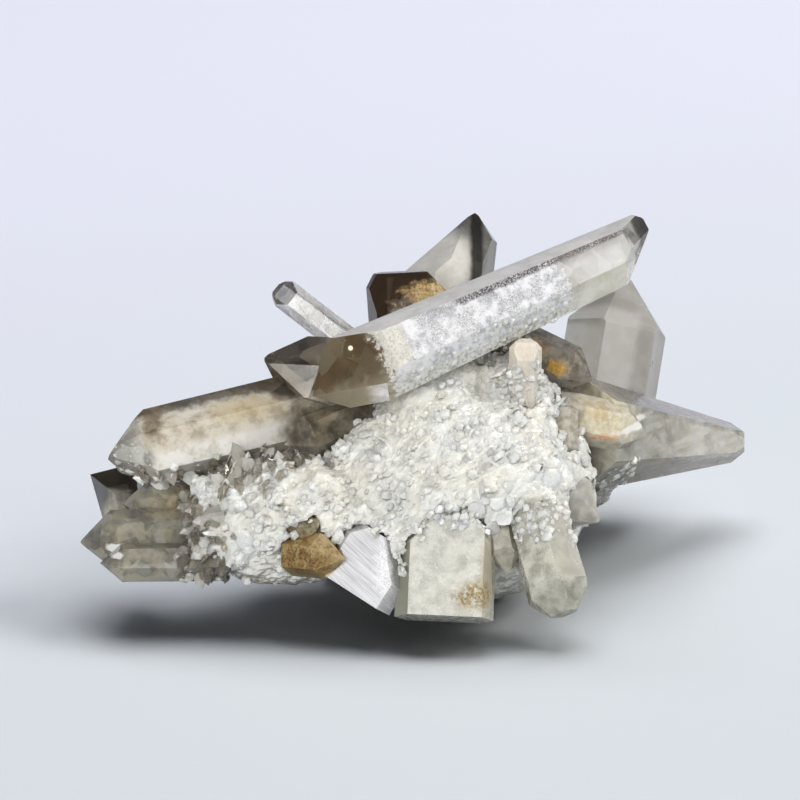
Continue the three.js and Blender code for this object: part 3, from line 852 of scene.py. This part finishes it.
def little_crystals(name, seats, size, height, material, seed, lean=0.7, cap=(0.15, 0.55),
                    sunk=0.45):
    """Many small six-sided crystals in one mesh. Size is their least and greatest radius in millimetres,
    and most are near the smaller one. Height and cap are counted in radii."""
    source = random.Random(seed)
    points, faces = [], []
    for spot, normal in seats:
        out = Vector(normal)
        out = (out + Vector([source.uniform(-lean, lean) for _ in range(3)])).normalized()
        side = out.orthogonal().normalized()
        third = out.cross(side)
        r = (size[0] + (size[1] - size[0]) * source.random() ** 1.8) * MM
        h = source.uniform(*height) * r
        start = Vector(spot) - out * sunk * MM
        turn = source.uniform(0, 1)
        first = len(points)
        flat = source.uniform(0.6, 1.0)
        shoulders = []
        for k in range(6):
            angle = (k + turn) * math.pi / 3
            around = side * math.cos(angle) * r + third * math.sin(angle) * r * flat
            points.append(start + around)
            narrowed = around * source.uniform(0.7, 0.95)
            shoulders.append(start + narrowed + out * (h + source.uniform(-0.3, 0.1) * r))
        points.extend(shoulders)
        points.append(start + out * (h + r * source.uniform(*cap)) + side * r * source.uniform(-0.4, 0.4))
        for k in range(6):
            n = (k + 1) % 6
            faces.append((first + k, first + n, first + 6 + n, first + 6 + k))
            faces.append((first + 6 + k, first + 6 + n, first + 12))
    return mesh_object(name, points, faces, material)


def rounded_lumps(name, seats, size, material, seed):
    """Worn, rounded grains in one mesh, each a flattened ball with an uneven skin."""
    ball = bmesh.new()
    bmesh.ops.create_icosphere(ball, subdivisions=2, radius=1.0)
    ball_points = [v.co.copy() for v in ball.verts]
    ball_faces = [[v.index for v in f.verts] for f in ball.faces]
    ball.free()
    source = random.Random(seed)
    points, faces = [], []
    for spot, normal in seats:
        out = (Vector(normal) + Vector([source.uniform(-0.3, 0.3) for _ in range(3)])).normalized()
        side = out.orthogonal().normalized()
        third = out.cross(side)
        turn = source.uniform(0, math.tau)
        cos, sin = math.cos(turn), math.sin(turn)
        side, third = side * cos + third * sin, third * cos - side * sin
        r = (size[0] + (size[1] - size[0]) * source.random() ** 1.6) * MM
        wide, high = source.uniform(0.6, 1.0), source.uniform(0.15, 0.28)
        shift = Vector([source.uniform(0, 50) for _ in range(3)])
        first = len(points)
        for p in ball_points:
            skin = 1 + 0.28 * noise.noise(p * 1.4 + shift)
            points.append(Vector(spot) + (side * p.x + third * p.y * wide + out * p.z * high) * r * skin)
        faces.extend([first + i for i in face] for face in ball_faces)
    return mesh_object(name, points, faces, material)


def glassy_share(spot):
    """How much of the druse near a place is clear, from 0 to 1."""
    shares = [1 - np.linalg.norm(spot / MM - centre) / (1.4 * reach) for centre, reach in GLASSY]
    return max(0.0, *shares)


def smooth_share(spot):
    """How much of the crust near a place is rounded lumps, from 0 to 1."""
    x, y, z = spot / MM
    smooth = y < 0 and (x > SMOOTH_RIGHT and z < SMOOTH_TOP or z < SMOOTH_FOOT)
    return SMOOTH if smooth else GRAINY


def wavy(place, grain):
    """Soft noise about 0, with lumps about as large as grain in millimetres."""
    return noise.noise(Vector(place) / (grain * MM))


# Where druse grows on the solids, by place and outward direction
def on_crust(place, normal):
    lowest = STEEPEST_FRONT if place[1] < FRONT * MM else STEEPEST
    return normal[2] > lowest and free_of_crystals(place, normal, GRAIN_ROOM * MM)


def on_open_crust(place, normal):
    return normal[2] > STEEPEST_LUMP and free_of_crystals(place, normal, LUMP_ROOM * MM)


def over_block(place, normal):
    edge = (LAP_HEIGHT + LAP_SWING * noise.noise((place[0] / (LAP_GRAIN * MM), 0, 0))) * MM
    return place[1] < LAP_FRONT * MM and place[2] > edge


def beige_foot(place, normal):
    return place[2] < BEIGE_FOOT * MM


def stained_foot(place, normal):
    return place[0] < STAINED_FOOT * MM and normal[1] < 0.2


def blunt_foot(place, normal):
    edge = BLUNT_FOOT + 1.6 * wavy(place, 1.8)
    return place[2] / MM > edge and place[1] < LAP_FRONT * MM


def lower_left_foot(place, normal):
    edge = LOWER_LEFT_FOOT + 2.2 * wavy(place, 2.5)
    return place[0] / MM > edge and normal[1] < 0.3 and normal[2] > -0.5


def under_left(place, normal):
    return normal[2] < -0.25 and UNDER_LEFT[0] < place[0] / MM < UNDER_LEFT[1] and place[1] < -11 * MM


def under_right(place, normal):
    edge = UNDER_RIGHT[1] + 4 * wavy(place, 3)
    return normal[2] < -0.2 and UNDER_RIGHT[0] < place[0] / MM < edge and place[1] > -6 * MM


def under_long(place, normal):
    t = (Vector(place) / MM - Vector(LONG[0])).dot((Vector(LONG[1]) - Vector(LONG[0])).normalized())
    drusy = Vector(normal).dot(UNDER) > 0.97 and DRUSY_PART[0] < t < DRUSY_PART[1]
    return drusy and source_of_gaps.random() < DRUSY_SHARE


source_of_gaps = random.Random(SEED + 8)
chance = random.Random(SEED)
seats = scatter(30000, 0.75, on_crust, SEED)
wide_seats = scatter(9000, 1.5, on_open_crust, SEED + 5)
lap_seats = scatter(4000, 0.65, over_block, SEED + 6, "block_crystals")
lap_seats += scatter(3000, 0.6, beige_foot, SEED + 9, "beige_crystal")
lap_seats += scatter(3000, 0.65, stained_foot, SEED + 10, "stained_crystal")
hanging_seats = scatter(2200, 0.95, under_left, SEED + 11, "left_crystals")
glass_seats = [s for s in seats if chance.random() < 1.8 * glassy_share(s[0])]
glassy = {id(s) for s in glass_seats}
pale_seats = [s for s in seats if id(s) not in glassy and chance.random() > 0.9 * smooth_share(s[0])]
lump_seats = [s for s in wide_seats if chance.random() < smooth_share(s[0])]
lap_seats += scatter(4000, 0.6, blunt_foot, SEED + 14, "blunt_crystal")
hanging_seats += scatter(5000, 0.7, lower_left_foot, SEED + 12, "lower_left_crystals")
lap_seats += scatter(4000, 0.65, under_right, SEED + 13, "right_crystals")
pale_seats += lap_seats + hanging_seats[::2]
glass_seats += hanging_seats[1::2]
little_crystals("crust_grains", pale_seats, (0.38, 0.90), (0.7, 1.2), crust_look, SEED + 1, sunk=0.55)
skin_seats = scatter(9000, 0.42, under_long, SEED + 7, "long_crystal")
little_crystals("underside_druse", skin_seats, (0.2, 0.55), (0.75, 1.3), frost_material(), SEED + 4, 0.8)
rounded_lumps("crust_lumps", lump_seats, (0.8, 1.7), crust_look, SEED + 3)
little_crystals("ridge_druse", glass_seats, (0.5, 1.2), (1.0, 1.7), glassy_material(), SEED + 2, 0.6,
                (0.7, 1.2))


def soft_light(name, direction, distance, size, watts, colour):
    """A flat lamp, that wide and high, that looks at the object."""
    data = bpy.data.lights.new(name, "AREA")
    data.shape, data.energy, data.color = "RECTANGLE", watts, colour
    data.size, data.size_y = size
    lamp = bpy.data.objects.new(name, data)
    bpy.context.scene.collection.objects.link(lamp)
    away = Vector(direction).normalized()
    lamp.location = TARGET + away * distance
    lamp.rotation_mode = "QUATERNION"
    lamp.rotation_quaternion = away.to_track_quat("Z", "Y")
    return lamp


def lit_alone(name, pieces, lamps):
    """Those lamps light only those pieces."""
    group = bpy.data.collections.new(name)
    bpy.context.scene.collection.children.link(group)
    for piece in pieces:
        group.objects.link(piece)
    for lamp in lamps:
        lamp.light_linking.receiver_collection = group


# Lamps: direction, distance and size in metres, power in watts, colour
WARM = (1.0, 0.985, 0.96)
key = soft_light("key", (0.73, 0.0, 0.68), 2.5, (1.05, 1.05), 49, WARM)
floor_key = soft_light("floor key", (0.73, 0.0, 0.68), 2.5, (1.05, 1.05), 34, WARM)
top = soft_light("top", (0.05, 0.2, 0.95), 2.5, (2.2, 2.2), 65, (0.96, 0.97, 1.0))
front_card = soft_light("front card", (-0.30, -0.85, 0.43), 1.2, (1.1, 0.8), 15, (1.0, 0.99, 0.97))
lit_alone("cluster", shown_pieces(), (key, front_card))

# The room is dim, with a bright wall low behind the object
ROOM = (0.07, 0.072, 0.08)
WALL = (0.80, 0.84, 0.98)
world = bpy.data.worlds.new("studio")
bpy.context.scene.world = world
world.use_nodes = True
sky = world.node_tree
direction = sky.nodes.new("ShaderNodeTexCoord").outputs["Generated"]
split = sky.nodes.new("ShaderNodeSeparateXYZ")
sky.links.new(direction, split.inputs[0])


def sky_ramp(value, low, high, start, end):
    """Goes smoothly from start to end as a part of the direction goes from low to high."""
    node = sky.nodes.new("ShaderNodeMapRange")
    node.interpolation_type = "SMOOTHSTEP"
    for socket, number in (("From Min", low), ("From Max", high), ("To Min", start), ("To Max", end)):
        node.inputs[socket].default_value = number
    sky.links.new(value, node.inputs["Value"])
    return node.outputs[0]


wall_share = sky.nodes.new("ShaderNodeMath")
wall_share.operation = "MULTIPLY"
sky.links.new(sky_ramp(split.outputs["Y"], 0.1, 0.5, 0, 1), wall_share.inputs[0])
sky.links.new(sky_ramp(split.outputs["Z"], 0.35, 0.75, 1, 0), wall_share.inputs[1])
shade = sky.nodes.new("ShaderNodeMix")
shade.data_type = "RGBA"
shade.inputs[6].default_value = (*ROOM, 1)
shade.inputs[7].default_value = (*WALL, 1)
sky.links.new(wall_share.outputs[0], shade.inputs[0])
backdrop = sky.nodes["Background"]
sky.links.new(shade.outputs[2], backdrop.inputs["Color"])
backdrop.inputs["Strength"].default_value = 0.6

# The floor is bluer towards the back left, and darker towards the front as painted shade
FLOOR_NEAR = (0.60, 0.63, 0.645)
FLOOR_FAR = (0.665, 0.67, 0.745)
floor_look = Shader("floor")
depth = floor_look.vector("DOT_PRODUCT", floor_look.place, (-0.6, 1.0, 0.0))
floor_tone = floor_look.ramp(floor_look.uneven(depth, 12, 120), -0.08, 0.34)
floor_look.surface(floor_look.mix(floor_tone, FLOOR_NEAR, FLOOR_FAR), 0.0, 0.9)
bpy.ops.mesh.primitive_plane_add(size=8)
floor = bpy.context.object
floor.name = "floor"
floor.data.materials.append(floor_look.material)
lit_alone("ground", [floor], (floor_key, top))

camera_data = bpy.data.cameras.new("camera")
camera_data.lens = LENS
camera_data.sensor_width = SENSOR
camera_data.clip_start, camera_data.clip_end = CLIP
camera = bpy.data.objects.new("camera", camera_data)
bpy.context.scene.collection.objects.link(camera)
camera.location = TARGET + Vector((0, -math.cos(ELEVATION), math.sin(ELEVATION))) * DISTANCE
camera.rotation_euler = (math.pi / 2 - ELEVATION, 0, 0)
bpy.context.scene.camera = camera
bpy.context.scene.view_settings.view_transform = "Standard"
bpy.context.scene.view_settings.gamma = GAMMA
